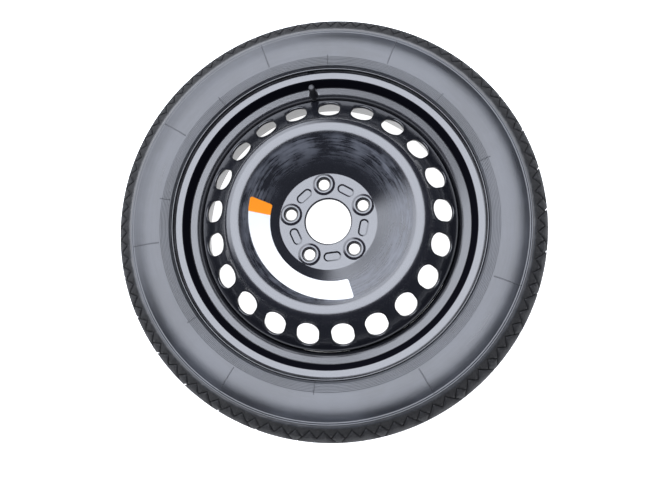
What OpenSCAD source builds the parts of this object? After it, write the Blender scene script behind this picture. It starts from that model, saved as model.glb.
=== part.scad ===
/* [Wheel size] */
// Nominal diameter of the bead seats
seat_d = 405.6; // [380:0.1:430]
// Width of the rim between its flanges
rim_w = 101.6; // [95:0.1:115]
// Distance from the rim's middle out to the hub mounting face
wheel_offset = 38; // [34:0.5:42]
// Thickness of the rim's sheet
rim_t = 2.8; // [2.4:0.1:3.2]
// Thickness of the pressed disc
disc_t = 4; // [3.5:0.1:4.5]

/* [Rim section] */
// Height of the flange over the bead seat
flange_h = 15.2; // [13:0.1:17.5]
// Radius of the rolled flange on the tyre's side
flange_r = 9.5; // [8:0.1:10]
// Radius of the bead seat's heel
heel_r = 4.5; // [3.5:0.1:5.5]
// Width of the street-side bead seat
street_seat_w = 13.1; // [12:0.1:14]
// Width of the car-side bead seat
car_seat_w = 22.8; // [20:0.1:26]
// Slope of the ledge between the street-side seat and the well
ledge_angle = 20; // [16:1:22]
// Depth of the well under the bead seats
well_depth = 14.3; // [13.6:0.1:15]
// Slope of the well's car side
well_angle = 49; // [40:1:60]

/* [Disc section] */
// Radius of the flat hub face
hub_r = 69.2; // [68:0.1:72]
// Slope of the dish that the label lies on
dish_angle = 34; // [30:0.5:36]
// Radius of the crest's ridge line
crest_line_r = 131; // [128:0.5:134]
// Bending radius of the crest
crest_bend = 20; // [16:0.5:22]
// Slope of the band with the vents
vent_band_angle = 41; // [38:0.5:44]
// Bending radius at the disc's outer edge
edge_bend = 12; // [9:0.5:14]
// Length of the disc's straight edge inside the well
edge_len = 20; // [16:0.5:24]
// Gap between the disc's edge and the well
edge_gap = 0.2; // [0.1:0.05:0.3]

/* [Vents] */
// Number of vents
vent_count = 21; // [18:1:21]
// Radius of the circle through the vents' middles
vent_line_r = 164.2; // [162:0.2:166]
// Width of a vent round the wheel
vent_w = 31; // [26:0.5:33]
// Length of a vent along the slope
vent_len = 38; // [34:0.5:40]

/* [Hub] */
// Diameter of the centre bore
bore_d = 65.1; // [60:0.1:68]
// Chamfer at the bore's street side
bore_chamfer = 2.2; // [1:0.1:2.6]
// Diameter of the bolt circle
bolt_circle_d = 110; // [106:0.1:112]
// Number of bolt holes
bolt_count = 5; // [4:1:5]
// Diameter of a bolt hole
bolt_hole_d = 15.2; // [14.4:0.1:16]
// Widest diameter of a bolt's seat
bolt_seat_d = 21.2; // [20.4:0.1:22]
// Included angle of a bolt's seat
bolt_seat_angle = 60; // [58:1:62]
// Diameter of the raised ring round a bolt's seat
bolt_ring_d = 32; // [28:0.5:33]
// Height of the raised ring over the hub face
bolt_ring_h = 2; // [1.8:0.1:2.2]
// Angle of the first bolt hole
bolt_angle = 25.5; // [0:0.5:72]
// Length of a stamped pocket between two bolt holes
pocket_len = 26; // [20:0.5:28]
// Width of a stamped pocket
pocket_w = 14; // [10:0.5:16]
// Depth of a stamped pocket
pocket_depth = 1.2; // [0.6:0.1:1.5]

/* [Weld seams] */
// Number of weld seams
weld_count = 8; // [4:1:10]
// Angle that one weld seam covers
weld_angle = 26; // [15:1:30]
// Height of a weld seam along the well
weld_h = 4.5; // [3:0.1:6]

/* [Tyre] */
// Overall diameter of the tyre
tyre_d = 624; // [618:0.5:630]
// Section width of the tyre
tyre_w = 134; // [130:0.5:138]
// Radius of the crown across the tread
crown_r = 260; // [200:5:400]
// Half width of the crown
crown_half = 37; // [34:0.5:39]
// Radius of the shoulder
shoulder_r = 26; // [24:0.5:28]
// Angle at which the shoulder ends on the buttress
shoulder_end = 58; // [56:0.5:60]
// Bulge radius of the sidewall
side_r = 75; // [72:1:80]
// Radius from the axle at which the sidewall bulges most
side_line_r = 255; // [253:0.5:257]
// Thickness of the rubber under the tread
tread_t = 11; // [9:0.5:13]
// Thickness of the sidewall
side_t = 7.5; // [6:0.25:9]
// Gap between a bead and the rim
bead_gap = 0.2; // [0.1:0.05:0.3]
// Height of the ridges on the sidewall
ridge_h = 0.8; // [0.4:0.1:1.2]
// Number of fine ribs beside a bead
rib_count = 8; // [4:1:9]
// Spacing of the fine ribs
rib_pitch = 1.9; // [1.6:0.05:2]
// Height of the fine ribs
rib_h = 0.5; // [0.3:0.05:0.8]

/* [Tread] */
// Number of zigzag waves round a shoulder, in threes
wave_count = 96; // [84:3:102]
// Width of the zigzag line round a shoulder
wave_w = 1.3; // [0.8:0.1:2]
// Reach of the zigzag across the shoulder
wave_reach = 10; // [8:0.5:11]
// Depth of the zigzag line and of the sipes
wave_depth = 2.2; // [1.5:0.1:3]
// Width of the round grooves
groove_w = 6; // [4:0.5:8]
// Depth of the round grooves
groove_depth = 4.5; // [3:0.5:5]
// Distance of the outer round grooves from the middle
groove_off = 20; // [18:0.5:24]
// Number of slanted slots across the middle ribs
slot_count = 32; // [28:1:34]
// Slant of the slots across the middle ribs
slot_slant = 35; // [20:1:45]

/* [Label] */
// Smallest radius of the label
label_in_r = 87; // [80:0.5:95]
// Largest radius of the label
label_out_r = 118.5; // [105:0.5:119]
// Angle at which the label starts
label_start = 160.5; // [0:0.5:359]
// Angle that the label covers
label_sweep = 128; // [60:1:180]
// Thickness of the label
label_t = 0.3; // [0.15:0.05:0.5]

/* [Valve] */
// Radius from the axle to the valve
valve_line_r = 194.8; // [194.6:0.1:195]
// Angle of the valve
valve_angle = 97.5; // [0:0.5:359]
// Diameter of the valve hole in the rim
valve_hole_d = 11.3; // [11:0.1:11.7]
// Diameter of the rubber collar outside the rim
collar_d = 13.4; // [12.8:0.1:13.6]
// Diameter of the rubber head inside the rim
head_d = 14.8; // [14:0.1:15]
// Length of the rubber over the ledge
rubber_len = 15; // [13:0.5:16]
// Length of the brass stem over the ledge
stem_len = 26.5; // [25:0.5:28]
// Diameter of the brass stem at its cap thread
stem_d = 7.7; // [7.5:0.1:8]
// Thread pitch of the cap
cap_pitch = 0.794; // [0.7:0.001:0.9]
// Outer diameter of the cap
cap_d = 9.6; // [9.4:0.1:11]
// Thickness of the cap's top
cap_top = 1.6; // [1:0.1:2]
// Thickness of the cap's seal
seal_t = 1.2; // [0.8:0.1:1.6]

/* [Valve core] */
// Diameter of the core's thread
core_d = 5.2; // [5:0.05:5.4]
// Length of the core's plug
plug_len = 4.2; // [3.8:0.1:5]
// Depth of the plug under the stem's tip
plug_drop = 0.8; // [0.5:0.1:1.2]
// Diameter of the core's barrel
barrel_d = 3.6; // [3.4:0.05:3.8]
// Length of the core's barrel
barrel_len = 8; // [7:0.1:9]
// Diameter of the core's pin
pin_d = 1; // [0.9:0.05:1.1]
// Travel of the pin
pin_travel = 1.2; // [1:0.1:1.4]
// Diameter of the cup under the barrel
cup_d = 3.4; // [3.2:0.05:3.6]
// Wire diameter of the core's spring
wire_d = 0.3; // [0.25:0.01:0.34]
// Number of turns of the core's spring
spring_turns = 6; // [4:1:7]
// Running gap between the core's moving pieces
run_gap = 0.05; // [0.03:0.01:0.08]

/* [Hidden] */
$fn = 96;
rim_mid = -wheel_offset;
seat_r = seat_d / 2;
seat_in_r = seat_r - rim_t;
flange_z = rim_w / 2;
lip_r = seat_r + flange_h;
lip_z = flange_z + flange_r;
lip_nose = 1.6;
curl_r = lip_r - flange_r;
foot_r = seat_r + heel_r;
foot_z = flange_z - heel_r;
well_r = seat_r - well_depth;
well_in_r = well_r - rim_t;
ledge_z = flange_z - street_seat_w;
ledge_w = 9.9;
ledge_low_r = seat_r - ledge_w;
ledge_low_z = ledge_z - ledge_w * tan(ledge_angle);
ledge_rise = rim_t / cos(ledge_angle);
ledge_low_in_r = ledge_low_r - rim_t / 2;
ledge_root = 5;
car_seat_z = -(flange_z - car_seat_w);
well_side_z = car_seat_z + well_depth * tan(well_angle);
well_side_drop = rim_t * tan((90 - well_angle) / 2);
hub_fillet = 4;
fillet_end_r = hub_r + hub_fillet * sin(dish_angle);
fillet_end_z = disc_t + hub_fillet * (1 - cos(dish_angle));
crest_start_r = crest_line_r - crest_bend * sin(dish_angle);
crest_start_z = dish_z(crest_start_r);
crest_mid_z = crest_start_z - crest_bend * cos(dish_angle);
crest_end_r = crest_line_r + crest_bend * sin(vent_band_angle);
crest_end_z = crest_mid_z + crest_bend * cos(vent_band_angle);
edge_r = well_in_r - edge_gap;
edge_mid_r = edge_r - edge_bend;
edge_turn_r = edge_mid_r + edge_bend * sin(vent_band_angle);
edge_turn_z = band_z(edge_turn_r);
edge_mid_z = edge_turn_z - edge_bend * cos(vent_band_angle);
edge_end_z = edge_mid_z - edge_len;
bolt_line_r = bolt_circle_d / 2;
bolt_top_z = disc_t + bolt_ring_h;
seat_break = 1;
seat_low_z = bolt_top_z - seat_break
    - (bolt_seat_d / 2 - seat_break - bolt_hole_d / 2) / tan(bolt_seat_angle / 2);
tyre_r = tyre_d / 2;
crown_lean = asin(crown_half / crown_r);
crown_end_r = tyre_r - crown_r * (1 - cos(crown_lean));
shoulder_mid_r = crown_end_r - shoulder_r * cos(crown_lean);
shoulder_mid_z = crown_half - shoulder_r * sin(crown_lean);
side_mid_z = tyre_w / 2 - side_r;
ridge_line_r = 283.5;
ridge_w = 1.4;
ridge_step = 2.6;
rib_start_r = 225;
side_foot_r = 223;
toe_z = ledge_z + 0.2;
wave_mid_r = shoulder_mid_r + 13;
wave_low_r = wave_mid_r - wave_reach / 2 - 2.5;
buttress_r = shoulder_mid_r + shoulder_r * cos(shoulder_end);
buttress_z = shoulder_mid_z + shoulder_r * sin(shoulder_end);
wave_step = 360 / wave_count;
sipe_run = 5.6;
groove_floor_r = tyre_r - groove_depth;
pad_r = 7.8;
pad_under = 3.4;
pocket_r = collar_d / 2 + 0.15;
head_room_r = head_d / 2 + 0.2;
head_len = 7.5;
hole_r = valve_hole_d / 2;
pad_z = rim_mid + ledge_z + ledge_rise - (seat_r - valve_line_r) * tan(ledge_angle) + 0.3;
stem_r = stem_d / 2;
stem_tip_z = pad_z + stem_len;
stem_foot_z = pad_z - pad_under - head_len + 1.5;
core_bore_r = core_d / 2 + run_gap;
lower_bore_r = 2.1;
plug_top_z = stem_tip_z - plug_drop;
plug_end_z = plug_top_z - plug_len;
seat_top_z = plug_end_z - 1.6;
seat_cone_h = 1.2;
barrel_end_z = plug_end_z - barrel_len;
barrel_bore_r = 1.1;
barrel_floor_h = 0.9;
neck_r = 1.45;
neck_h = 1;
gasket_h = 1.4;
pin_r = pin_d / 2;
pin_top_z = stem_tip_z - 0.3;
collar_top_z = plug_end_z - 0.2;
pin_collar_h = 0.6;
pin_collar_r = 0.95;
spring_top_z = collar_top_z - pin_collar_h;
spring_foot_z = barrel_end_z + barrel_floor_h;
spring_r = 0.76;
cup_seal_t = 0.5;
cup_h = 1.6;
pin_foot_z = barrel_end_z - cup_seal_t - cup_h - 0.4;
cap_skirt_z = pad_z + rubber_len + 0.3;
cap_ceiling_z = stem_tip_z + seal_t;
cap_top_z = cap_ceiling_z + cap_top;
cap_bore_r = stem_r + run_gap;

// Points of an arc from angle a to angle b
function arc(x, y, r, a, b, n = 6) = [for (i = [0:n]) [x + r * cos(a + (b - a) * i / n),
    y + r * sin(a + (b - a) * i / n)]];

// Height of the dish's street face at radius r
function dish_z(r) = fillet_end_z + (r - fillet_end_r) * tan(dish_angle);

// Height of the vent band's street face at radius r
function band_z(r) = crest_end_z - (r - crest_end_r) * tan(vent_band_angle);

// Height of the tyre's sidewall over the rim's middle at radius r
function side_z(r) = side_mid_z + sqrt(side_r * side_r - pow(r - side_line_r, 2));

// Height of the straight buttress between the shoulder's ridges and its arc
function wall_z(r) = buttress_z + (side_z(ridge_line_r) - buttress_z) * (buttress_r - r)
    / (buttress_r - ridge_line_r);

function mirrored(points) = [for (i = [len(points) - 1:-1:0]) [points[i][0], -points[i][1]]];

// Flange and heel on the tyre's side, from the lip's nose down to the seat
flange_out = concat(
    [[lip_r - rim_t / 2, lip_z + lip_nose], [lip_r - 0.3, lip_z + lip_nose * 0.6]],
    arc(curl_r, lip_z, flange_r, 0, -90, 8),
    arc(foot_r, foot_z, heel_r, 90, 180, 5));

// The same flange on its bare side, from the seat up to the lip's nose
flange_in = concat(
    arc(foot_r, foot_z, heel_r + rim_t, 180, 90, 6),
    arc(curl_r, lip_z, flange_r - rim_t, -90, 0, 7),
    [[lip_r - rim_t + 0.3, lip_z + lip_nose * 0.6]]);

rim_points = concat(
    flange_out,
    [[seat_r - 0.3, ledge_z], [ledge_low_r, ledge_low_z], [well_r, ledge_low_z - ledge_root / 2],
        [well_r, well_side_z], [seat_r - 0.2, car_seat_z]],
    mirrored(flange_out),
    mirrored(flange_in),
    [[seat_in_r - 0.2, car_seat_z - well_side_drop], [well_in_r, well_side_z - well_side_drop],
        [well_in_r, ledge_low_z - ledge_root / 2 - 1.5], [well_in_r + 1.2, ledge_low_z + 0.2],
        [ledge_low_in_r, ledge_low_z + ledge_rise],
        [seat_in_r - 1.6, ledge_z + ledge_rise - (rim_t + 1.6) * tan(ledge_angle)],
        [seat_in_r - 0.3, ledge_z + ledge_rise + 0.6]],
    flange_in);

module at_valve() {
    rotate([0, 0, valve_angle]) translate([valve_line_r, 0, 0]) children();
}

module rim() {
    color([0.07, 0.07, 0.08]) difference() {
        union() {
            translate([0, 0, rim_mid]) rotate_extrude($fn = 180) polygon(rim_points);
            at_valve() translate([0, 0, pad_z - pad_under]) cylinder(r = pad_r, h = pad_under);
        }
        at_valve() translate([0, 0, pad_z]) cylinder(r = pocket_r, h = 9.5);
        at_valve() translate([0, 0, pad_z - pad_under - head_len - 2])
            cylinder(r = head_room_r, h = head_len + 2);
        at_valve() translate([0, 0, pad_z - pad_under - 1]) cylinder(r = hole_r, h = pad_under + 2);
    }
}

disc_street_face = concat(
    arc(hub_r, disc_t + hub_fillet, hub_fillet, -90, dish_angle - 90, 4),
    arc(crest_line_r, crest_mid_z, crest_bend, 90 + dish_angle, 90 - vent_band_angle, 12),
    arc(edge_mid_r, edge_mid_z, edge_bend, 90 - vent_band_angle, 0, 8));

disc_back_face = concat(
    arc(edge_mid_r, edge_mid_z, edge_bend - disc_t, 0, 90 - vent_band_angle, 6),
    arc(crest_line_r, crest_mid_z, crest_bend - disc_t, 90 - vent_band_angle, 90 + dish_angle, 10),
    arc(hub_r, disc_t + hub_fillet, hub_fillet + disc_t, dish_angle - 90, -90, 6));

module disc_pressing() {
    rotate_extrude($fn = 180) polygon(concat(
        [[bore_d / 2, 0], [bore_d / 2, disc_t - bore_chamfer], [bore_d / 2 + bore_chamfer, disc_t]],
        disc_street_face,
        [[edge_r, edge_end_z], [edge_r - disc_t, edge_end_z]],
        disc_back_face));
}

module vent_cut() {
    straight = vent_len - vent_w;
    translate([vent_line_r, 0, band_z(vent_line_r)]) rotate([0, vent_band_angle, 0])
        translate([0, 0, -disc_t * 3]) {
            translate([-straight / 2, 0, 0]) cylinder(d = vent_w, h = disc_t * 5);
            translate([straight / 2, 0, 0]) cylinder(d = vent_w, h = disc_t * 5);
            translate([-straight / 2, -vent_w / 2, 0]) cube([straight, vent_w, disc_t * 5]);
        }
}

module bolt_ring() {
    translate([bolt_line_r, 0, disc_t - 0.5])
        cylinder(d1 = bolt_ring_d, d2 = bolt_ring_d - 1, h = bolt_ring_h + 0.5);
}

module bolt_seat_cut() {
    translate([bolt_line_r, 0, 0]) rotate_extrude() polygon([[0, -1], [bolt_hole_d / 2, -1],
        [bolt_hole_d / 2, seat_low_z], [bolt_seat_d / 2 - seat_break, bolt_top_z - seat_break],
        [bolt_seat_d / 2, bolt_top_z], [bolt_seat_d / 2, bolt_top_z + 1], [0, bolt_top_z + 1]]);
}

module pocket_cut() {
    straight = pocket_len - pocket_w;
    translate([bolt_line_r - 3.5, 0, disc_t - pocket_depth]) {
        translate([0, -straight / 2, 0]) cylinder(d = pocket_w, h = disc_t);
        translate([0, straight / 2, 0]) cylinder(d = pocket_w, h = disc_t);
        translate([-pocket_w / 2, -straight / 2, 0]) cube([pocket_w, straight, disc_t]);
    }
}

module disc() {
    color([0.08, 0.08, 0.09]) difference() {
        union() {
            disc_pressing();
            for (i = [0:bolt_count - 1]) rotate([0, 0, bolt_angle + i * 360 / bolt_count]) bolt_ring();
        }
        for (i = [0:vent_count - 1]) rotate([0, 0, 90 + i * 360 / vent_count]) vent_cut();
        for (i = [0:bolt_count - 1]) rotate([0, 0, bolt_angle + i * 360 / bolt_count]) {
            bolt_seat_cut();
            rotate([0, 0, 180 / bolt_count]) pocket_cut();
        }
    }
}

module disc_rim_welds() {
    color([0.1, 0.1, 0.1]) for (i = [0:weld_count - 1])
        rotate([0, 0, (i + 0.5) * 360 / weld_count - weld_angle / 2]) rotate_extrude(angle = weld_angle)
            polygon([[edge_r - disc_t + 0.5, edge_end_z], [well_in_r - 0.05, edge_end_z],
                [well_in_r - 0.05, edge_end_z - weld_h]]);
}

module label() {
    lift = 0.05;
    color([0.97, 0.97, 0.95]) rotate([0, 0, label_start]) rotate_extrude(angle = label_sweep, $fn = 180)
        polygon([for (p = [[label_in_r, lift], [label_out_r, lift], [label_out_r, lift + label_t],
            [label_in_r, lift + label_t]]) [p[0] - p[1] * sin(dish_angle),
            dish_z(p[0]) + p[1] * cos(dish_angle)]]);
}

// Sidewall with its fine ribs and its two shoulder ridges, from the bead out to the buttress
side_points = concat(
    [[side_foot_r, side_z(side_foot_r)]],
    [for (i = [0:rib_count - 1]) for (s = [0, 0.5]) let(r = rib_start_r + (i + s) * rib_pitch)
        [r, side_z(r) + (s > 0 ? rib_h : 0)]],
    [for (i = [0:9]) let(r = rib_start_r + rib_count * rib_pitch
        + (ridge_line_r - ridge_step - 2 - rib_start_r - rib_count * rib_pitch) * i / 9) [r, side_z(r)]],
    [for (r = [ridge_line_r - ridge_step, ridge_line_r]) for (s = [-0.5, 0, 0.5])
        [r + s * ridge_w, side_z(r + s * ridge_w) + (s == 0 ? ridge_h : 0)]]);

half_tyre = concat(
    [[seat_r + bead_gap, toe_z]],
    arc(foot_r, foot_z, heel_r - bead_gap, 180, 90, 4),
    [[curl_r + 1.2, flange_z - bead_gap], [curl_r + 6.5, flange_z + 1.5],
        [lip_r + 2.5, flange_z + 5]],
    side_points,
    arc(shoulder_mid_r, shoulder_mid_z, shoulder_r, shoulder_end, crown_lean, 4),
    [for (i = [3:-1:1]) let(a = crown_lean * i / 4) [tyre_r - crown_r * (1 - cos(a)), crown_r * sin(a)]]);

cavity_points = [[tyre_r - tread_t, 0], [tyre_r - tread_t - 1.5, 18],
    [shoulder_mid_r + (shoulder_r - tread_t) * cos(30), shoulder_mid_z + (shoulder_r - tread_t) * sin(30)],
    [ridge_line_r - 6, side_z(ridge_line_r - 6) - side_t - 2],
    [side_line_r + 8, side_z(side_line_r + 8) - side_t],
    [side_line_r - 12, side_z(side_line_r - 12) - side_t],
    [side_foot_r + 4, side_z(side_foot_r + 4) - side_t - 3],
    [seat_r + 12, flange_z - 9], [seat_r + 5, toe_z + 1.6]];

module tread_lines() {
    half = wave_w / 2;
    waves = [for (i = [0:wave_count * 2 - 1]) let(a = i * wave_step / 2,
        r = wave_mid_r + (i % 2 == 0 ? -wave_reach / 2 : wave_reach / 2)) [r * cos(a), r * sin(a)]];
    difference() {
        polygon([for (p = waves) p * (wave_mid_r + half * 1.4) / wave_mid_r]);
        polygon([for (p = waves) p * (wave_mid_r - half * 1.4) / wave_mid_r]);
    }
    for (i = [0:wave_count / 3 - 1]) {
        sipe((3 * i + 0.5) * wave_step, 1);
        sipe((3 * i + 1.5) * wave_step, -1);
    }
}

// A straight sipe that carries a leg of the zigzag on to the crown
module sipe(angle, way) {
    lean = atan(wave_step / 2 * PI / 180 * wave_mid_r / wave_reach);
    rotate([0, 0, angle]) translate([wave_mid_r + wave_reach / 2 - 0.6, 0]) rotate([0, 0, way * lean])
        translate([0, -wave_w / 2]) square([sipe_run / cos(lean) + 8, wave_w]);
}

// Space under the shoulder's surface that the zigzag and its sipes may cut
module shoulder_skin() {
    low = groove_off + groove_w / 2;
    inner = shoulder_r - wave_depth - 0.6;
    rotate_extrude($fn = 180) polygon([
        [tyre_r - 1 - wave_depth, low], [tyre_r + 3, low], [tyre_r + 3, tyre_w / 2],
        [wave_low_r, tyre_w / 2], [wave_low_r, wall_z(wave_low_r) - wave_depth - 0.6],
        [shoulder_mid_r + inner * cos(shoulder_end + 6), shoulder_mid_z + inner * sin(shoulder_end + 6)],
        [shoulder_mid_r + inner * cos(crown_lean + 8), shoulder_mid_z + inner * sin(crown_lean + 8)]]);
}

module shoulder_cut() {
    intersection() {
        linear_extrude(height = tyre_w / 2) tread_lines();
        shoulder_skin();
    }
}

module crown_slots() {
    reach = groove_off - groove_w / 2;
    for (i = [0:slot_count - 1]) rotate([0, 0, i * 360 / slot_count])
        translate([groove_floor_r + 1.2, 0, 0]) rotate([slot_slant, 0, 0])
            translate([0, -wave_w / 2, -reach / cos(slot_slant)])
                cube([groove_depth + 2, wave_w, 2 * reach / cos(slot_slant)]);
}

module tyre() {
    color([0.2, 0.2, 0.21]) translate([0, 0, rim_mid]) difference() {
        rotate_extrude($fn = 180) polygon(concat(half_tyre, [[tyre_r, 0]], mirrored(half_tyre),
            mirrored([for (i = [1:len(cavity_points) - 1]) cavity_points[i]]), [cavity_points[0]],
            [for (i = [1:len(cavity_points) - 1]) cavity_points[i]]));
        for (z = [-groove_off, 0, groove_off]) translate([0, 0, z - groove_w / 2])
            rotate_extrude($fn = 180) translate([groove_floor_r, 0])
                square([groove_depth + 4, groove_w]);
        shoulder_cut();
        mirror([0, 0, 1]) shoulder_cut();
        crown_slots();
    }
}

module valve_body() {
    color([0.06, 0.06, 0.06]) at_valve() rotate_extrude() polygon([
        [stem_r + run_gap, pad_z - pad_under - head_len],
        [head_d / 2 - 2, pad_z - pad_under - head_len], [head_d / 2, pad_z - pad_under - 3],
        [head_d / 2, pad_z - pad_under - 0.1], [hole_r - run_gap, pad_z - pad_under - 0.1],
        [hole_r - run_gap, pad_z], [collar_d / 2, pad_z], [collar_d / 2, pad_z + 2],
        [hole_r, pad_z + 4.5], [hole_r - 0.9, pad_z + rubber_len - 0.8],
        [hole_r - 1.4, pad_z + rubber_len], [stem_r + run_gap, pad_z + rubber_len]]);
}

module valve_stem() {
    color([0.72, 0.56, 0.25]) at_valve() rotate_extrude() polygon([
        [lower_bore_r, stem_foot_z], [stem_r, stem_foot_z], [stem_r, stem_tip_z - 0.4],
        [stem_r - 0.4, stem_tip_z], [core_bore_r, stem_tip_z], [core_bore_r, seat_top_z],
        [lower_bore_r, seat_top_z - seat_cone_h]]);
}

module valve_cap() {
    color([0.05, 0.05, 0.05]) at_valve() rotate_extrude() polygon([
        [cap_bore_r, cap_skirt_z], [cap_d / 2, cap_skirt_z], [cap_d / 2, cap_top_z - 1.6],
        [cap_d / 2 - 0.5, cap_top_z - 0.6], [cap_d / 2 - 1.6, cap_top_z], [0, cap_top_z],
        [0, cap_ceiling_z], [cap_bore_r, cap_ceiling_z]]);
}

module valve_cap_seal() {
    color([0.1, 0.1, 0.1]) at_valve() translate([0, 0, stem_tip_z])
        cylinder(r = cap_bore_r - 0.15, h = seal_t);
}

module core_plug() {
    wing_h = 1.4;
    color([0.75, 0.6, 0.3]) at_valve() difference() {
        translate([0, 0, plug_end_z]) cylinder(d = core_d, h = plug_len);
        translate([0, 0, plug_end_z - 1]) cylinder(r = pin_r + 0.25, h = plug_len + 2);
        translate([0, 0, plug_end_z - 1]) cylinder(r = neck_r + run_gap, h = neck_h + 1 + run_gap);
        for (s = [-1, 1]) translate([s * core_d / 2, 0, plug_top_z])
            cube([core_d - 1.8, core_d + 1, wing_h * 2], center = true);
    }
}

module core_barrel() {
    color([0.78, 0.66, 0.4]) at_valve() difference() {
        union() {
            translate([0, 0, barrel_end_z]) cylinder(d = barrel_d, h = barrel_len);
            translate([0, 0, plug_end_z - 0.5]) cylinder(r = neck_r, h = neck_h + 0.5);
        }
        translate([0, 0, spring_foot_z]) cylinder(r = barrel_bore_r, h = barrel_len + neck_h);
        translate([0, 0, barrel_end_z - 1]) cylinder(r = pin_r + run_gap + 0.1, h = 3);
    }
}

module core_barrel_gasket() {
    color([0.8, 0.2, 0.15]) at_valve() rotate_extrude() polygon([
        [barrel_d / 2 + run_gap, seat_top_z - seat_cone_h], [lower_bore_r - 0.1, seat_top_z - seat_cone_h],
        [core_bore_r - 0.15, seat_top_z], [core_bore_r - 0.15, seat_top_z + gasket_h - seat_cone_h],
        [barrel_d / 2 + run_gap, seat_top_z + gasket_h - seat_cone_h]]);
}

module core_pin() {
    color([0.8, 0.75, 0.6]) at_valve() {
        translate([0, 0, pin_foot_z]) cylinder(r = pin_r, h = pin_top_z - pin_foot_z);
        translate([0, 0, spring_top_z]) cylinder(r = pin_collar_r, h = pin_collar_h);
    }
}

module core_cup() {
    color([0.75, 0.6, 0.3]) at_valve() difference() {
        translate([0, 0, barrel_end_z - cup_seal_t - cup_h]) cylinder(d = cup_d, h = cup_h);
        translate([0, 0, barrel_end_z - cup_seal_t - cup_h - 1]) cylinder(r = pin_r, h = cup_h + 2);
    }
}

module core_cup_seal() {
    color([0.12, 0.12, 0.12]) at_valve() difference() {
        translate([0, 0, barrel_end_z - cup_seal_t]) cylinder(d = cup_d - 0.2, h = cup_seal_t);
        translate([0, 0, barrel_end_z - cup_seal_t - 1]) cylinder(r = pin_r, h = cup_seal_t + 2);
    }
}

// Wire swept round a helix, with ten rings a turn
module core_spring() {
    sides = 6;
    rings = spring_turns * 10;
    rise = spring_top_z - spring_foot_z - wire_d - 0.1;
    points = [for (i = [0:rings]) for (j = [0:sides - 1])
        let(a = i * 36, b = j * 360 / sides, r = spring_r + wire_d / 2 * cos(b))
        [r * cos(a), r * sin(a), spring_foot_z + 0.05 + wire_d / 2 + rise * i / rings
            + wire_d / 2 * sin(b)]];
    walls = [for (i = [0:rings - 1]) for (j = [0:sides - 1]) for (half = [0, 1])
        half == 0 ? [i * sides + j, (i + 1) * sides + j, (i + 1) * sides + (j + 1) % sides]
            : [i * sides + j, (i + 1) * sides + (j + 1) % sides, i * sides + (j + 1) % sides]];
    color([0.7, 0.7, 0.72]) at_valve() polyhedron(points = points, faces = concat(
        [[for (j = [0:sides - 1]) j]], walls, [[for (j = [sides - 1:-1:0]) rings * sides + j]]));
}

tyre();
rim();
disc();
disc_rim_welds();
label();
valve_body();
valve_stem();
valve_cap();
valve_cap_seal();
core_plug();
core_barrel();
core_barrel_gasket();
core_pin();
core_cup();
core_cup_seal();
core_spring();
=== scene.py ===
from math import atan2, cos, degrees, pi, radians, sin, sqrt, tan

import bmesh
import bpy
from mathutils import Matrix, Vector


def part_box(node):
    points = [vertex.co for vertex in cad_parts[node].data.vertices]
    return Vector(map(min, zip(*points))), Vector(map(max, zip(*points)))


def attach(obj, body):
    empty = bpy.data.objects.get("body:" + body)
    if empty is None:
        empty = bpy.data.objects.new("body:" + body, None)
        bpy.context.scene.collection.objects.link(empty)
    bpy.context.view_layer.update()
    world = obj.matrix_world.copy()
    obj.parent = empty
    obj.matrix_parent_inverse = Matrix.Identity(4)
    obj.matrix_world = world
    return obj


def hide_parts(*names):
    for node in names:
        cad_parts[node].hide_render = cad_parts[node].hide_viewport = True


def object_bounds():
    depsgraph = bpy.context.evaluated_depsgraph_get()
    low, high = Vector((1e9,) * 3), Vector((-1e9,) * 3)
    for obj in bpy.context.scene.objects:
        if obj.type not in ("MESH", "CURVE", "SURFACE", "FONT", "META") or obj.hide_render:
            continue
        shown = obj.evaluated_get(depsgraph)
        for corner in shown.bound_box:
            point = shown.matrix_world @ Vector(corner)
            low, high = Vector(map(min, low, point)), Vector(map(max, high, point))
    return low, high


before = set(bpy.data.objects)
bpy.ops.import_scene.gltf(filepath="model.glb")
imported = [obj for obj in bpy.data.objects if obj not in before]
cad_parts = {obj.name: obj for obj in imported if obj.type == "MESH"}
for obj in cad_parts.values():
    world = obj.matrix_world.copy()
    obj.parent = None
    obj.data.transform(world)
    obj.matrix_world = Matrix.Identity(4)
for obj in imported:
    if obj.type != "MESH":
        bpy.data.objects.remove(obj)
cadLow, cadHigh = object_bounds()
mm = 0.001
print("frame loaded")

# The camera looks down on the wheel, a little from its lower right

camera = {
    "focalPixels": 675.0,
    "imageWidth": 667,
    "imageHeight": 500,
    "distance": 950.0,
    "tilt": 10.70,
    "tiltTowards": 119.1,
    "lipCentre": (326.83, 218.32),
    "lipHeight": 24.0,
}


def makeCamera(c):
    tilt, towards = radians(c["tilt"]), radians(c["tiltTowards"])
    axle = Vector((sin(tilt) * cos(towards), sin(tilt) * sin(towards), cos(tilt)))
    right = Vector((0, 1, 0)).cross(axle).normalized()
    up = axle.cross(right)
    turn = Matrix((right, up, axle))  # rows are the model's axes in the camera's view
    u, v = c["lipCentre"]
    seen = Vector(((u - c["imageWidth"] / 2) * c["distance"] / c["focalPixels"],
                   (c["imageHeight"] / 2 - v) * c["distance"] / c["focalPixels"], -c["distance"]))
    place = Vector((0, 0, c["lipHeight"])) - turn @ seen
    data = bpy.data.cameras.new("photoCamera")
    data.sensor_width = 36.0
    data.lens = 36.0 * c["focalPixels"] / c["imageWidth"]
    data.clip_start, data.clip_end = 0.01, 50
    obj = bpy.data.objects.new("photoCamera", data)
    obj.matrix_world = Matrix.Translation(place * mm) @ turn.to_4x4()
    bpy.context.scene.collection.objects.link(obj)
    bpy.context.scene.camera = obj


makeCamera(camera)
print("camera placed")


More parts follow.
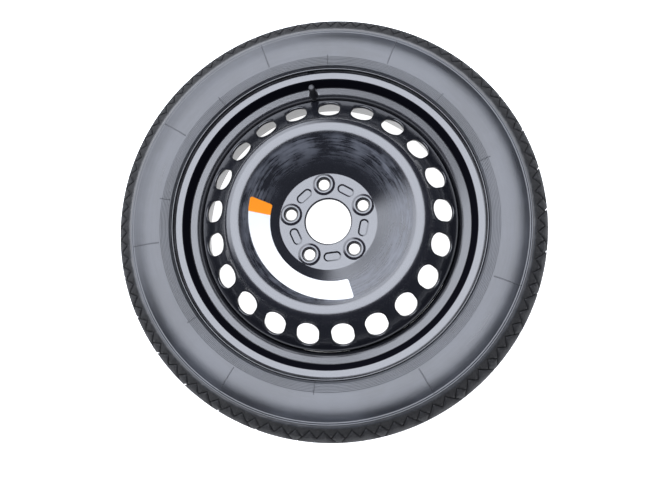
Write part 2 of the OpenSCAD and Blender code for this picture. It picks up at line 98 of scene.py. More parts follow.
# Sockets that take part in plain Python sums
class Value:
    def __init__(self, sums, socket):
        self.sums, self.socket = sums, socket

    def maths(self, operation, other, swapped=False):
        first, second = (other, self) if swapped else (self, other)
        return self.sums.node("Math", {"operation": operation}, {0: first, 1: second})

    def __add__(self, other):
        return self.maths("ADD", other)

    def __radd__(self, other):
        return self.maths("ADD", other, True)

    def __sub__(self, other):
        return self.maths("SUBTRACT", other)

    def __rsub__(self, other):
        return self.maths("SUBTRACT", other, True)

    def __mul__(self, other):
        return self.maths("MULTIPLY", other)

    def __truediv__(self, other):
        return self.maths("DIVIDE", other)

    def __pow__(self, other):
        return self.maths("POWER", other)


class Sums:
    def __init__(self, tree, placeOutput):
        self.tree = tree
        self.place = self.node("TexCoord", output=placeOutput)
        self.x = self.node("SeparateXYZ", inputs={0: self.place}, output="X")
        self.y = self.node("SeparateXYZ", inputs={0: self.place}, output="Y")
        self.z = self.node("SeparateXYZ", inputs={0: self.place}, output="Z")

    def node(self, kind, settings=None, inputs=None, output=0):
        made = self.tree.nodes.new("ShaderNode" + kind)
        for key, value in (settings or {}).items():
            setattr(made, key, value)
        for key, value in (inputs or {}).items():
            if isinstance(value, Value):
                self.tree.links.new(value.socket, made.inputs[key])
            else:
                made.inputs[key].default_value = value
        return Value(self, made.outputs[output])

    def between(self, value, low, high):
        # 0 below low, 1 above high, smooth in between
        return self.node("MapRange", {"interpolation_type": "SMOOTHSTEP"},
                         {"Value": value, "From Min": low, "From Max": high})

    def noise(self, vector, scale, detail, roughness):
        return self.node("TexNoise", {"noise_dimensions": "3D"},
                         {"Vector": vector, "Scale": scale, "Detail": detail, "Roughness": roughness})

    def size(self, value):
        # the value without its sign
        return self.node("Math", {"operation": "ABSOLUTE"}, {0: value})

    def vector(self, x, y, z):
        return self.node("CombineXYZ", inputs={0: x, 1: y, 2: z})

    def mix(self, mask, colourA, colourB):
        return self.node("Mix", {"data_type": "RGBA"}, {"Factor": mask, 6: colourA, 7: colourB}, 2)


class Finish(Sums):
    def __init__(self, name, **constants):
        self.material = bpy.data.materials.new(name)
        self.material.use_nodes = True
        super().__init__(self.material.node_tree, "Object")
        self.shader = self.tree.nodes["Principled BSDF"]
        for key, value in constants.items():
            self.shader.inputs[key.replace("_", " ")].default_value = value
        self.radius = (self.x * self.x + self.y * self.y) ** 0.5 * 1000.0  # mm from the axle

    def round(self, turns, across):
        # a place that follows the wheel round: slow along the circle, quick across it
        return self.vector(self.x / self.radius * (turns * 1000.0), self.y / self.radius * (turns * 1000.0),
                           self.radius * across)

    def ring(self, at, half):
        # 1 on a thin ring round the axle, 0 beside it
        return 1.0 - self.between(self.size(self.radius - at), half * 0.4, half)

    def ray(self, angle, half, first, last):
        # 1 on a thin line that runs out from the axle between two radii
        turn, fade = radians(angle), 0.6
        off = self.size((self.x * sin(turn) - self.y * cos(turn)) * 1000.0)
        ahead = self.between(self.x * cos(turn) + self.y * sin(turn), 0.0, 0.01)
        inside = self.between(self.radius, first - fade, first)
        inside = inside * (1.0 - self.between(self.radius, last, last + fade))
        return (1.0 - self.between(off, half * 0.4, half)) * ahead * inside

    def bump(self, height, distance, under=None):
        inputs = {"Height": height, "Distance": distance}
        if under is not None:
            inputs["Normal"] = under
        return self.node("Bump", inputs=inputs)

    def soften(self, mask, colour):
        # a matte diffuse colour takes over where the mask is 1: painted shade on the rim's wall, a duller
        # darker rubber on the tread
        matteAndPaintedShade = self.tree.nodes.new("ShaderNodeBsdfDiffuse")
        matteAndPaintedShade.inputs["Color"].default_value = colour
        both = self.tree.nodes.new("ShaderNodeMixShader")
        self.tree.links.new(mask.socket, both.inputs[0])
        self.tree.links.new(self.shader.outputs[0], both.inputs[1])
        self.tree.links.new(matteAndPaintedShade.outputs[0], both.inputs[2])
        self.tree.links.new(both.outputs[0], self.tree.nodes["Material Output"].inputs[0])

    def feed(self, **links):
        for key, value in links.items():
            self.tree.links.new(value.socket, self.shader.inputs[key.replace("_", " ")])
        return self.material


def blackPaint(name, s):
    f = Finish(name, Coat_Weight=s["coat"], Coat_Roughness=s["coatRoughness"], IOR=s["ior"])
    peel = f.noise(f.place, s["peelScale"], 2.0, 0.45)
    fine = f.noise(f.place, s["fineScale"], 1.0, 0.5)
    streaks = f.noise(f.round(3.0, 0.45), 1.0, 4.0, 0.65)
    dabs = f.noise(f.place, s["dabScale"], 4.0, 0.6)
    inDish = f.between(f.radius, *s["wipedFrom"]) * (1.0 - f.between(f.radius, *s["wipedTo"]))
    wiped = f.between(streaks * 0.65 + dabs * 0.55, *s["wipedOver"]) * inDish
    dusty = f.between(dabs, *s["dustOver"]) * s["dust"]
    colour = f.mix(dusty + wiped * s["haze"], s["colour"], s["dustColour"])
    rough = s["roughness"] + wiped * s["wipe"] + dusty * 0.25 + (fine - 0.5) * 0.06
    normal = f.bump(peel, s["peelDepth"])
    normal = f.bump(streaks, s["streakDepth"], normal)
    f.feed(Base_Color=colour, Roughness=rough, Normal=normal)
    if "matteAndPaintedShade" in s:
        # painted shade: a near-black matte colour is mixed over the wall between the bead seat and the
        # flange, where shade falls
        low, high = s["matteAndPaintedShade"]
        matteAndPaintedShade = f.between(f.z, low, low + 0.001) * (1.0 - f.between(f.z, high - 0.0004, high))
        f.soften(matteAndPaintedShade * f.between(f.radius, *s["paintedShadeFrom"]), s["paintedShadeColour"])
    return f.material


blackPaintSettings = {
    "roughness": 0.24, "ior": 1.8, "coat": 0.8, "coatRoughness": 0.07, "dust": 0.05,
    "wipedFrom": (78.0, 112.0), "wipedTo": (115.0, 124.0), "dabScale": 26.0,
    "wipedOver": (0.5, 0.72), "dustOver": (0.45, 0.8),
}
rimPaintSettings = {
    **blackPaintSettings, "colour": (0.006, 0.0063, 0.008, 1), "dustColour": (0.09, 0.095, 0.11, 1),
    "wipe": 0.0, "haze": 0.0, "peelScale": 420.0, "fineScale": 1302.0, "peelDepth": 0.00006,
    # painted shade: a near-black matte band on the wall under the street-side flange, set at the end of these
    # settings
    "streakDepth": 0.00002, "matteAndPaintedShade": (0.0026, 0.0154), "paintedShadeFrom": (190.0, 192.0),
    "paintedShadeColour": (0.004, 0.004, 0.006, 1),
}
discPaintSettings = {
    **blackPaintSettings, "colour": (0.006, 0.0065, 0.009, 1), "dustColour": (0.11, 0.118, 0.14, 1),
    "wipe": 0.28, "haze": 0.672, "peelScale": 460.0, "fineScale": 1426.0, "peelDepth": 0.00005,
    "streakDepth": 0.00004,
}
rimPaint = blackPaint("rimPaint", rimPaintSettings)
discPaint = blackPaint("discPaint", discPaintSettings)

tyreRubberSettings = {
    "side": (0.011, 0.012, 0.0145, 1), "sideWorn": (0.03, 0.0325, 0.038, 1),
    "tread": (0.004, 0.0038, 0.0037, 1), "treadDust": (0.024, 0.0225, 0.021, 1),
    "darkening": (0.004, 0.0042, 0.005, 1),
    "specular": 0.9, "sideRoughness": 0.31, "treadRoughness": 0.6, "treadDull": 0.5,
    "grainScale": 1500.0, "grainDepth": 0.00003, "cloudScale": 14.0, "cloudDepth": 0.0005,
    "speckScale": 320.0, "speckDepth": 0.0012, "lineDepth": 0.0005,
    "wornOver": (0.42, 0.68), "dustOver": (0.5, 0.75),
    "treadFrom": 286.0, "ribs": (221.5, 241.0), "ribPitch": 1.9,
    "ridges": (280.9, 283.5), "groove": 0.9, "grooveOff": 1.4,
    "longLines": (69.6, 111.3, 149.4, 188.3, 239.2, 301.7, 340.4), "longFrom": 243.0, "longTo": 281.0,
    "shortLines": (20.8, 47.7, 90.6, 131.9, 173.0, 217.7, 266.8), "shortFrom": 222.0, "shortTo": 243.0,
}


def tyreRubber(name, s):
    f = Finish(name, Specular_IOR_Level=s["specular"])
    grain = f.noise(f.place, s["grainScale"], 2.0, 0.6)
    cloud = f.noise(f.place, s["cloudScale"], 4.0, 0.55)
    swirl = f.noise(f.round(2.0, 0.12), 1.0, 3.0, 0.6)
    specks = f.noise(f.place, s["speckScale"], 3.0, 0.7)
    onTread = f.between(f.radius, s["treadFrom"], s["treadFrom"] + 4.0)
    side = f.mix(f.between(cloud * 0.6 + swirl * 0.5, *s["wornOver"]), s["side"], s["sideWorn"])
    tread = f.mix(f.between(specks, *s["dustOver"]), s["tread"], s["treadDust"])
    low, high = s["ribs"]
    inRibs = f.between(f.radius, low, low + 0.5) * (1.0 - f.between(f.radius, high - 0.5, high))
    wave = f.node("Math", {"operation": "SINE"}, {0: f.radius * (2 * pi / s["ribPitch"])})
    furrows = f.between(wave, 0.1, 0.9) * inRibs
    inner, outer = s["ridges"]
    beside = f.ring(inner - s["grooveOff"], s["groove"]) + f.ring(outer + s["grooveOff"], s["groove"])
    lines = 0.0
    for angle in s["longLines"]:
        lines = f.ray(angle, 0.8, s["longFrom"], s["longTo"]) + lines
    for angle in s["shortLines"]:
        lines = f.ray(angle, 0.6, s["shortFrom"], s["shortTo"]) + lines
    # darker in the rib furrows, beside the ridges and along the moulded lines
    side = f.mix(furrows * 0.4 + beside * 0.5 + lines * 0.25, side, s["darkening"])
    colour = f.mix(onTread, side, tread)
    rough = s["sideRoughness"] + (swirl - 0.5) * 0.2 + onTread * (s["treadRoughness"] - s["sideRoughness"])
    normal = f.bump(grain, s["grainDepth"])
    normal = f.bump(cloud, s["cloudDepth"], normal)
    normal = f.bump(lines - furrows, s["lineDepth"], normal)
    normal = f.bump(specks * onTread, s["speckDepth"], normal)
    f.feed(Base_Color=colour, Roughness=rough, Normal=normal)
    # the tread gets a half-strength matte layer in the same darker colour
    f.soften(onTread * s["treadDull"], s["darkening"])
    return f.material


tyreMaterial = tyreRubber("tyreRubber", tyreRubberSettings)


def mouldedFinish(name, colour, roughness):
    f = Finish(name)
    grain = f.noise(f.place, 2400.0, 2.0, 0.5)
    smear = f.noise(f.place, 190.0, 3.0, 0.6)
    tint = f.mix(f.between(smear, 0.45, 0.75), colour, tuple(c * 2.2 for c in colour[:3]) + (1,))
    return f.feed(Base_Color=tint, Roughness=roughness + (smear - 0.5) * 0.25, Normal=f.bump(grain, 0.00002))


valveRubber = mouldedFinish("valveRubber", (0.018, 0.018, 0.02, 1), 0.42)
sealRubber = mouldedFinish("sealRubber", (0.03, 0.03, 0.03, 1), 0.55)
gasketRubber = mouldedFinish("gasketRubber", (0.5, 0.05, 0.035, 1), 0.5)
capPlastic = mouldedFinish("capPlastic", (0.022, 0.022, 0.024, 1), 0.36)


def turnedMetal(name, colour, dark, roughness):
    f = Finish(name, Metallic=1.0)
    marks = f.noise(f.vector(f.x * 90.0, f.y * 90.0, f.z * 5200.0), 1.0, 2.0, 0.5)
    stain = f.noise(f.place, 330.0, 3.0, 0.6)
    tint = f.mix(f.between(stain, 0.42, 0.78), colour, dark)
    return f.feed(Base_Color=tint, Roughness=roughness + stain * 0.2, Normal=f.bump(marks, 0.00001))


brass = turnedMetal("brass", (0.72, 0.53, 0.24, 1), (0.45, 0.31, 0.14, 1), 0.22)
springSteel = turnedMetal("springSteel", (0.6, 0.6, 0.62, 1), (0.4, 0.4, 0.42, 1), 0.25)
print("finishes made")


def finishPiece(bm, name, body, material, replaced, sharp=32.0):
    mesh = bpy.data.meshes.new(name)
    bm.to_mesh(mesh)
    bm.free()
    mesh.shade_smooth()
    mesh.set_sharp_from_angle(angle=radians(sharp))
    mesh.materials.append(material)
    obj = bpy.data.objects.new(name, mesh)
    bpy.context.scene.collection.objects.link(obj)
    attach(obj, body)
    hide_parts(replaced)


def roundedOutline(corners, step=9.0):
    # corners are (across, up, bend radius); each bend becomes an arc that meets both straights
    points = []
    for i, (x, z, bend) in enumerate(corners):
        here = Vector((x, z))
        back = (Vector(corners[i - 1][:2]) - here).normalized()
        ahead = (Vector(corners[(i + 1) % len(corners)][:2]) - here).normalized()
        half = back.angle(ahead) / 2
        middle = here + (back + ahead).normalized() * (bend / sin(half))
        first = here + back * (bend / tan(half)) - middle
        last = here + ahead * (bend / tan(half)) - middle
        count = max(2, round(degrees(pi - 2 * half) / step))
        turn = first.angle_signed(last)  # clockwise is positive
        for k in range(count + 1):
            points.append(middle + Matrix.Rotation(-turn * k / count, 2) @ first)
    return points


def spinOutline(points, steps, lift=0.0):
    bm = bmesh.new()
    verts = [bm.verts.new((p[0], 0, p[1] + lift)) for p in points]
    edges = [bm.edges.new((verts[i], verts[(i + 1) % len(verts)])) for i in range(len(verts))]
    bmesh.ops.spin(bm, geom=verts + edges, cent=(0, 0, 0), axis=(0, 0, 1), angle=2 * pi, steps=steps,
                   use_merge=True)
    bmesh.ops.remove_doubles(bm, verts=bm.verts, dist=0.0005)
    bmesh.ops.recalc_face_normals(bm, faces=bm.faces)
    return bm


def cut(bm, tool, operation="DIFFERENCE"):
    # works in millimetres and gives a new bmesh back
    objs = []
    for part in (bm, tool):
        bmesh.ops.recalc_face_normals(part, faces=part.faces)
        mesh = bpy.data.meshes.new("cutting")
        part.to_mesh(mesh)
        part.free()
        obj = bpy.data.objects.new("cutting", mesh)
        bpy.context.scene.collection.objects.link(obj)
        objs.append(obj)
    work = objs[0].modifiers.new("cut", "BOOLEAN")
    work.object, work.operation, work.solver = objs[1], operation, "EXACT"
    result = bmesh.new()
    result.from_object(objs[0], bpy.context.evaluated_depsgraph_get())
    for obj in objs:
        bpy.data.objects.remove(obj)
    return result


def addTo(bm, other):
    mesh = bpy.data.meshes.new("added")
    other.to_mesh(mesh)
    other.free()
    bm.from_mesh(mesh)
    bpy.data.meshes.remove(mesh)


def rod(bm, radius, low, high, x=0.0, y=0.0):
    made = bmesh.ops.create_cone(bm, cap_ends=True, segments=48, radius1=radius, radius2=radius,
                                 depth=high - low)
    bmesh.ops.translate(bm, verts=made["verts"], vec=(x, y, (low + high) / 2))
    return made["verts"]


def lengthen(verts, axis, by):
    # draws a round out to a slot: both halves move apart along one axis
    for v in verts:
        v.co[axis] += by if v.co[axis] > 0.01 else (-by if v.co[axis] < -0.01 else 0)


rim = {
    "middle": -38.0, "half": 50.8, "sheet": 2.8, "seat": 202.8, "lip": 218.0, "curl": 9.5, "heel": 4.5,
    "nose": 61.9, "streetLip": 224.5, "streetCurl": 7.0, "streetNose": 61.4, "flare": 210.4, "flareBend": 5.0,
    "foot": 203.0, "ledge": 37.7, "ledgeAngle": 20.0, "ledgeBend": 13.0,
    "well": 188.5, "carSeat": -28.0, "wellAngle": 49.0,
    "steps": 240, "valveRadius": 194.8, "valveAngle": 97.5, "pad": 0.068, "pocket": 6.85,
    "pocketHeight": 9.5, "hole": 5.65,
}


def makeRim(s):
    t, half, seat, lip, well, ledge = (s[key] for key in ("sheet", "half", "seat", "lip", "well", "ledge"))
    slope = tan(radians(s["ledgeAngle"]))
    rise = t / cos(radians(s["ledgeAngle"]))
    fall = (seat - well) * tan(radians(s["wellAngle"]))
    shift = t * tan(radians((90 - s["wellAngle"]) / 2))
    wide, flare, foot, carSeat = s["streetLip"], s["flare"], s["foot"], s["carSeat"]
    # the street side's flange is wider than the solid's, as in the photo
    tyreSide = [(wide, s["streetNose"], 0.7), (wide, half, s["streetCurl"]),
                (flare + 1.6, half, s["flareBend"] + 2), (foot + t, ledge + 3.5, 2.0),
                (foot + t, ledge + 1.1, 1.2), (well, ledge - (seat - well) * slope, 8.0),
                (well, carSeat + fall, 7.0), (seat, carSeat, 5.0), (seat, -half, s["heel"]),
                (lip, -half, s["curl"]), (lip, -s["nose"], 1.2)]
    bareSide = [(lip - t, -s["nose"], 1.2), (lip - t, -half - t, s["curl"] - t),
                (seat - t, -half - t, s["heel"] + t), (seat - t, carSeat - shift, 5.0),
                (well - t, carSeat + fall - shift, 7.0),
                (well - t, ledge + rise - (seat - well + t) * slope, s["ledgeBend"]),
                (foot, ledge + rise - (seat - foot) * slope, 3.0), (flare, half + t, s["flareBend"]),
                (wide - 2.0, half + t, s["streetCurl"] - 2.4), (wide - 1.5, s["streetNose"], 0.7)]
    bm = spinOutline(roundedOutline(tyreSide + bareSide), s["steps"], s["middle"])
    turn = radians(s["valveAngle"])
    x, y = s["valveRadius"] * cos(turn), s["valveRadius"] * sin(turn)
    tool = bmesh.new()
    rod(tool, s["pocket"], s["pad"], s["pad"] + s["pocketHeight"], x, y)
    bm = cut(bm, tool)
    tool = bmesh.new()
    rod(tool, s["hole"], s["pad"] - 12, s["pad"] + 2, x, y)
    bm = cut(bm, tool)
    bmesh.ops.scale(bm, verts=bm.verts, vec=(mm, mm, mm))
    finishPiece(bm, "rimShell", "wheel", rimPaint, "rim", 40.0)


makeRim(rim)
print("rim made")

disc = {
    "sheet": 4.0, "bore": 32.55, "boreChamfer": 2.2, "hub": 69.2, "fillet": 4.0, "dishAngle": 34.0,
    "crestLine": 131.0, "crestBend": 20.15, "ventAngle": 41.0,
    "edge": 185.5, "edgeBend": 12.0, "edgeLength": 20.0,
    "vents": 21, "ventLine": 164.2, "ventWidth": 31.0, "ventLength": 38.0, "ventEdge": 0.9,
    "ventZone": (140.0, 184.0), "bolts": 5, "boltLine": 55.0, "boltAngle": 25.5, "boltHole": 7.6,
    "coneAngle": 30.0, "seat": 10.6, "seatBreak": 1.0, "crest": 12.4, "ring": 16.0, "ringHeight": 2.0,
    "pocketLine": 51.5, "pocketLength": 26.0, "pocketWidth": 14.0, "pocketDepth": 1.7, "pocketSlope": 2.4,
    "steps": 252,
}


def discHeights(s):
    # where the dish's slope starts, the crest's middle and where the vents' slope starts
    slope, fall = radians(s["dishAngle"]), radians(s["ventAngle"])
    startR = s["hub"] + s["fillet"] * sin(slope)
    startZ = s["sheet"] + s["fillet"] * (1 - cos(slope))
    riseR = s["crestLine"] - s["crestBend"] * sin(slope)
    riseZ = startZ + (riseR - startR) * tan(slope)
    crestZ = riseZ - s["crestBend"] * cos(slope)
    fallR = s["crestLine"] + s["crestBend"] * sin(fall)
    fallZ = crestZ + s["crestBend"] * cos(fall)
    return startR, startZ, crestZ, fallR, fallZ


def makeDisc(s):
    t = s["sheet"]
    slope, fall = radians(s["dishAngle"]), radians(s["ventAngle"])
    crestZ, fallR, fallZ = discHeights(s)[2:]
    bendR = s["edge"] - s["edgeBend"]
    bendTurnR = bendR + s["edgeBend"] * sin(fall)
    bendZ = fallZ - (bendTurnR - fallR) * tan(fall) - s["edgeBend"] * cos(fall)
    endZ = bendZ - s["edgeLength"]

    def arc(x, z, r, first, last, count):
        return [(x + r * cos(radians(first + (last - first) * k / count)),
                 z + r * sin(radians(first + (last - first) * k / count))) for k in range(count + 1)]

    up = 90 + s["dishAngle"]
    down = 90 - s["ventAngle"]
    street = (arc(s["hub"], t + s["fillet"], s["fillet"], -90, s["dishAngle"] - 90, 5)
              + arc(s["crestLine"], crestZ, s["crestBend"], up, down, 16)
              + arc(bendR, bendZ, s["edgeBend"], down, 0, 10))
    back = (arc(bendR, bendZ, s["edgeBend"] - t, 0, down, 8)
            + arc(s["crestLine"], crestZ, s["crestBend"] - t, down, up, 14)
            + arc(s["hub"], t + s["fillet"], s["fillet"] + t, s["dishAngle"] - 90, -90, 7))
    bore = [(s["bore"] + 0.6, 0), (s["bore"], 0.6), (s["bore"], t - s["boreChamfer"]),
            (s["bore"] + 0.5, t - s["boreChamfer"] + 0.9), (s["bore"] + s["boreChamfer"] - 0.7, t - 0.35),
            (s["bore"] + s["boreChamfer"] + 0.3, t)]
    edge = [(s["edge"], endZ + 0.7), (s["edge"] - 0.7, endZ), (s["edge"] - t + 0.7, endZ),
            (s["edge"] - t, endZ + 0.7)]
    bm = spinOutline(bore + street + edge + back, s["steps"])

    # raised rings round the bolt seats, with a rounded crest
    top, ring, crest, hole = t + s["ringHeight"], s["ring"], s["crest"], s["boltHole"]
    turns = [radians(s["boltAngle"] + i * 360 / s["bolts"]) for i in range(s["bolts"])]
    places = [(s["boltLine"] * cos(turn), s["boltLine"] * sin(turn), 0) for turn in turns]
    for place in places:
        one = spinOutline([(0, t - 2), (ring + 0.8, t - 2), (ring + 0.4, t + 0.05), (ring - 0.6, t + 0.4),
                           (ring - 1.8, t + 1.2), (crest + 0.8, top - 0.2), (crest, top), (0, top)], 64)
        bmesh.ops.translate(one, verts=one.verts, vec=place)
        bm = cut(bm, one, "UNION")

    # bolt holes with a cone for the bolt's head
    tool = bmesh.new()
    mouthR, mouthZ = s["seat"] - s["seatBreak"], top - s["seatBreak"]
    lowZ = mouthZ - (mouthR - hole) / tan(radians(s["coneAngle"]))
    for place in places:
        one = spinOutline([(0, -2), (hole + 0.6, -2), (hole + 0.6, 0), (hole, 0.6), (hole, lowZ - 0.2),
                           (hole + 0.2, lowZ + 0.2), (mouthR - 0.15, mouthZ - 0.26),
                           (mouthR + 0.35, top - 0.55), (crest - 1.2, top - 0.12),
                           (crest, top + 0.001), (crest, top + 2), (0, top + 2)], 56)
        bmesh.ops.translate(one, verts=one.verts, vec=place)
        addTo(tool, one)
    bm = cut(bm, tool)

    # stamped pockets between them, with sloping walls
    tool = bmesh.new()
    straight = (s["pocketLength"] - s["pocketWidth"]) / 2
    half, depth = s["pocketWidth"] / 2, s["pocketDepth"]
    foot = half - s["pocketSlope"]
    for i in range(s["bolts"]):
        one = spinOutline([(0, t - depth), (foot - 0.4, t - depth), (foot + 0.2, t - depth + 0.12),
                           (half - 0.5, t - 0.22), (half + 0.3, t + 0.001), (half + 0.3, t + 2),
                           (0, t + 2)], 48)
        lengthen(one.verts, 1, straight)
        bmesh.ops.translate(one, verts=one.verts, vec=(s["pocketLine"], 0, 0))
        spinMatrix = Matrix.Rotation(radians(s["boltAngle"] + (i + 0.5) * 360 / s["bolts"]), 3, "Z")
        bmesh.ops.rotate(one, verts=one.verts, cent=(0, 0, 0), matrix=spinMatrix)
        addTo(tool, one)
    bm = cut(bm, tool)

    # vents, stood on the slope
    tool = bmesh.new()
    half = (s["ventLength"] - s["ventWidth"]) / 2
    ventZ = fallZ - (s["ventLine"] - fallR) * tan(fall)
    for i in range(s["vents"]):
        verts = rod(tool, s["ventWidth"] / 2, -t * 3, t * 2)
        lengthen(verts, 0, half)
        bmesh.ops.rotate(tool, verts=verts, cent=(0, 0, 0), matrix=Matrix.Rotation(fall, 3, "Y"))
        bmesh.ops.translate(tool, verts=verts, vec=(s["ventLine"], 0, ventZ))
        spinMatrix = Matrix.Rotation(radians(90 + i * 360 / s["vents"]), 3, "Z")
        bmesh.ops.rotate(tool, verts=verts, cent=(0, 0, 0), matrix=spinMatrix)
    bm = cut(bm, tool)
    bmesh.ops.remove_doubles(bm, verts=bm.verts, dist=0.002)

    # roll the vents' edges over
    rolled = [e for e in bm.edges if len(e.link_faces) == 2 and e.calc_face_angle(0) > radians(55)
              and all(s["ventZone"][0] < v.co.xy.length < s["ventZone"][1] for v in e.verts)]
    bmesh.ops.bevel(bm, geom=rolled, affect="EDGES", offset=s["ventEdge"], segments=3, profile=0.5,
                    material=-1, clamp_overlap=False)
    bmesh.ops.scale(bm, verts=bm.verts, vec=(mm, mm, mm))
    finishPiece(bm, "discPressing", "wheel", discPaint, "disc", 40.0)


makeDisc(disc)
print("disc made")

# the bead's heights and how far each moves out, to stand clear of the rim's wall and lip
tyre = {
    "beadShift": ((-0.5, 3.2), (1.0, 3.2), (8.3, 6.5), (9.9, 7.2), (11.3, 7.8), (12.3, 8.1), (12.6, 7.7),
                  (14.3, 7.4), (17.8, 4.4), (21.8, 2.5), (22.7, 1.4), (23.6, 0.8), (24.4, 0.0)),
    "beadTo": 229.0, "beadFace": 204.9, "beadLean": 1.05,
}


def makeTyre(s):
    # the solid's own mesh with its street-side bead moved
    bm = bmesh.new()
    bm.from_mesh(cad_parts["tyre"].data)
    bmesh.ops.remove_doubles(bm, verts=bm.verts, dist=0.000002)
    table = s["beadShift"]
    for v in bm.verts:
        r, z = v.co.xy.length * 1000, v.co.z * 1000
        if z <= table[0][0] or z >= table[-1][0] or r > min(s["beadTo"], s["beadFace"] + s["beadLean"] * z):
            continue
        (lowZ, lowShift), (highZ, highShift) = next(
            (table[i], table[i + 1]) for i in range(len(table) - 1) if z <= table[i + 1][0])
        v.co.xy *= 1 + (lowShift + (highShift - lowShift) * (z - lowZ) / (highZ - lowZ)) / r
    finishPiece(bm, "tyreCase", "wheel", tyreMaterial, "tyre")


makeTyre(tyre)
print("tyre made")

label = {
    "inner": 87.2, "outer": 118.3, "start": 164.1, "sweep": 125.6, "corner": 3.2, "orangeEnd": 175.0,
    "innerBow": (-2.5, 3.5, 2.0), "outerBow": (-8.5, 3.5, 6.5),
    "lift": 0.36, "thickness": 0.12, "edgeFade": 0.15,
    "paper": (0.86, 0.86, 0.84, 1), "paperGrime": (0.6, 0.59, 0.56, 1),
    "flame": (0.96, 0.3, 0.012, 1), "flameDark": (0.82, 0.22, 0.01, 1),
}


def labelFilm(s):
    f = Finish("labelFilm", Coat_Weight=0.25, Coat_Roughness=0.15)
    turn = radians(s["orangeEnd"])
    side = f.y * (1000.0 * cos(turn)) - f.x * (1000.0 * sin(turn))
    orange = 1.0 - f.between(side, -s["edgeFade"], s["edgeFade"])
    ink = f.noise(f.place, 900.0, 2.0, 0.5)
    darkening = f.between(f.noise(f.place, 45.0, 4.0, 0.6), 0.52, 0.85)
    paper = f.mix(darkening * 0.35, s["paper"], s["paperGrime"])
    flame = f.mix(ink * 0.3, s["flame"], s["flameDark"])
    return f.feed(Base_Color=f.mix(orange, paper, flame), Roughness=0.34 + darkening * 0.25,
                  Normal=f.bump(ink, 0.000008))


def makeLabel(s):
    bm = bmesh.new()
    bmesh.ops.create_grid(bm, x_segments=150, y_segments=6, size=1.0)
    slope = radians(disc["dishAngle"])
    dishR, dishZ = discHeights(disc)[:2]
    length = radians(s["sweep"]) * (s["inner"] + s["outer"]) / 2
    for v in bm.verts:
        along = (1 - cos((v.co.x + 1) / 2 * pi)) / 2  # closer together at both ends
        toEnd = min(along, 1 - along) * length
        short = max(0.0, s["corner"] - toEnd)
        inset = s["corner"] - sqrt(max(0.0, s["corner"] ** 2 - short ** 2))
        t = 2 * along - 1  # the strip is straighter than the dish is round
        low = s["inner"] + sum(c * t ** k for k, c in enumerate(s["innerBow"])) + inset
        high = s["outer"] + sum(c * t ** k for k, c in enumerate(s["outerBow"])) - inset
        r = (low + high) / 2 + v.co.y * (high - low) / 2
        turn = radians(s["start"] + s["sweep"] * along)
        z = dishZ + (r - dishR) * tan(slope) + s["lift"] * cos(slope)
        r -= s["lift"] * sin(slope)
        v.co = Vector((r * cos(turn), r * sin(turn), z)) * mm
    bmesh.ops.recalc_face_normals(bm, faces=bm.faces)
    bmesh.ops.solidify(bm, geom=bm.faces[:], thickness=s["thickness"] * mm)
    finishPiece(bm, "labelFilm", "wheel", labelFilm(s), "label", 50.0)


makeLabel(label)
print("label made")

cap = {
    "radius": 4.8, "bore": 3.9, "ribs": 26, "ribSteps": 4, "ribDepth": 0.22,
    "valveRadius": rim["valveRadius"], "valveAngle": rim["valveAngle"],
}


def makeCap(s):
    low, high = (c * 1000 for c in (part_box("valve_cap")[0].z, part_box("valve_cap")[1].z))
    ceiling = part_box("valve_cap_seal")[1].z * 1000
    r, b = s["radius"], s["bore"]
    profile = [(b, low), (r - 0.5, low), (r - 0.15, low + 0.25), (r - 0.1, low + 1.6), (r, low + 1.9),
               (r, high - 3.0), (r - 0.12, high - 2.6), (r - 0.3, high - 1.4), (r - 0.8, high - 0.7),
               (r - 1.7, high - 0.2), (r - 3.0, high), (0.0, high), (0.0, ceiling), (b, ceiling)]
    bm = spinOutline(profile, s["ribs"] * s["ribSteps"])
    for v in bm.verts:
        if low + 1.8 < v.co.z < high - 2.8 and v.co.xy.length > r - 0.05:
            wave = 0.5 - 0.5 * cos(atan2(v.co.y, v.co.x) * s["ribs"])
            v.co.xy *= 1 - s["ribDepth"] / r * wave
    turn = radians(s["valveAngle"])
    bmesh.ops.translate(bm, verts=bm.verts,
                        vec=(s["valveRadius"] * cos(turn), s["valveRadius"] * sin(turn), 0))
    bmesh.ops.scale(bm, verts=bm.verts, vec=(mm, mm, mm))
    finishPiece(bm, "valveCap", "cap", capPlastic, "valve_cap", 40.0)


makeCap(cap)
print("cap made")

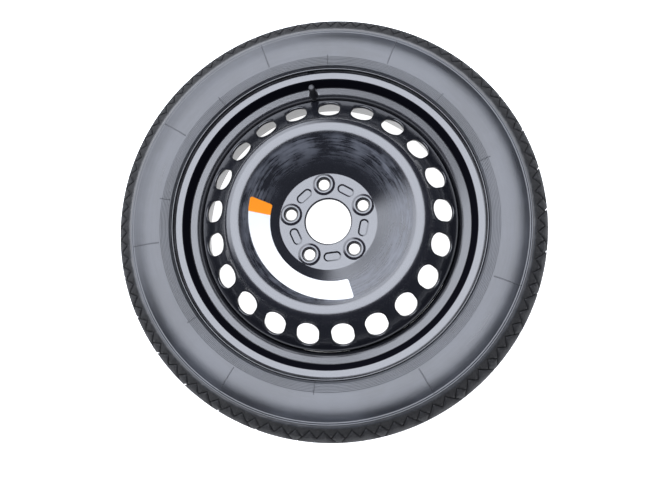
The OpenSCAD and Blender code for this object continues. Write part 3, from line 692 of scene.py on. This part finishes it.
nodeFinishes = {
    "disc_rim_welds": discPaint, "valve_body": valveRubber, "valve_stem": brass, "valve_cap_seal": sealRubber,
    "core_plug": brass, "core_barrel": brass, "core_barrel_gasket": gasketRubber, "core_pin": brass,
    "core_cup": brass, "core_cup_seal": sealRubber, "core_spring": springSteel,
}
for node, material in nodeFinishes.items():
    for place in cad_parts[node].material_slots:
        place.material = material
print("carried-over nodes finished")

studio = {
    "floorGlow": 1.05, "floorColour": (0.84, 0.84, 0.84, 1), "floorSize": 60.0,
    "zenith": (4.3, 4.5, 5.05, 1), "low": (0.07, 0.075, 0.1, 1), "zenithFrom": 0.805, "zenithTo": 0.865,
    "zenithAt": (-0.05, 0.20, 0.98), "openSide": 142.0, "openStrength": 0.66,
    "openNarrow": 0.6, "openFrom": (0.12, 0.5), "openLean": 0.12, "openAbove": (0.28, 0.34),
}


def makeStudio(s):
    bm = bmesh.new()
    bmesh.ops.create_grid(bm, x_segments=2, y_segments=2, size=s["floorSize"])
    bmesh.ops.translate(bm, verts=bm.verts, vec=(0, 0, cadLow.z))
    mesh = bpy.data.meshes.new("floor")
    bm.to_mesh(mesh)
    bm.free()
    floor = bpy.data.objects.new("floor", mesh)
    bpy.context.scene.collection.objects.link(floor)
    f = Finish("floor", Base_Color=s["floorColour"], Roughness=0.9,
               Emission_Color=(1, 1, 1, 1), Emission_Strength=s["floorGlow"])
    mesh.materials.append(f.material)

    # a pale opening overhead that reaches lower on one side, over a dark horizon
    world = bpy.data.worlds.new("sky")
    bpy.context.scene.world = world
    world.use_nodes = True
    sky = Sums(world.node_tree, "Generated")
    turn = radians(s["openSide"])
    towards = sky.x * cos(turn) + sky.y * sin(turn)
    across = sky.x * sin(turn) - sky.y * cos(turn)
    aside = sky.size(across)
    x, y, z = s["zenithAt"]
    overhead = sky.between(sky.x * x + sky.y * y + sky.z * z, s["zenithFrom"], s["zenithTo"])
    side = sky.between(towards - aside * s["openNarrow"], *s["openFrom"])
    side = side * sky.between(sky.z + across * s["openLean"], *s["openAbove"])
    light = sky.node("Math", {"operation": "MAXIMUM"}, {0: overhead, 1: side * s["openStrength"]})
    colour = sky.mix(light, s["low"], s["zenith"])
    world.node_tree.links.new(colour.socket, world.node_tree.nodes["Background"].inputs["Color"])
    bpy.context.scene.view_settings.view_transform = "Standard"


makeStudio(studio)
print("studio made")
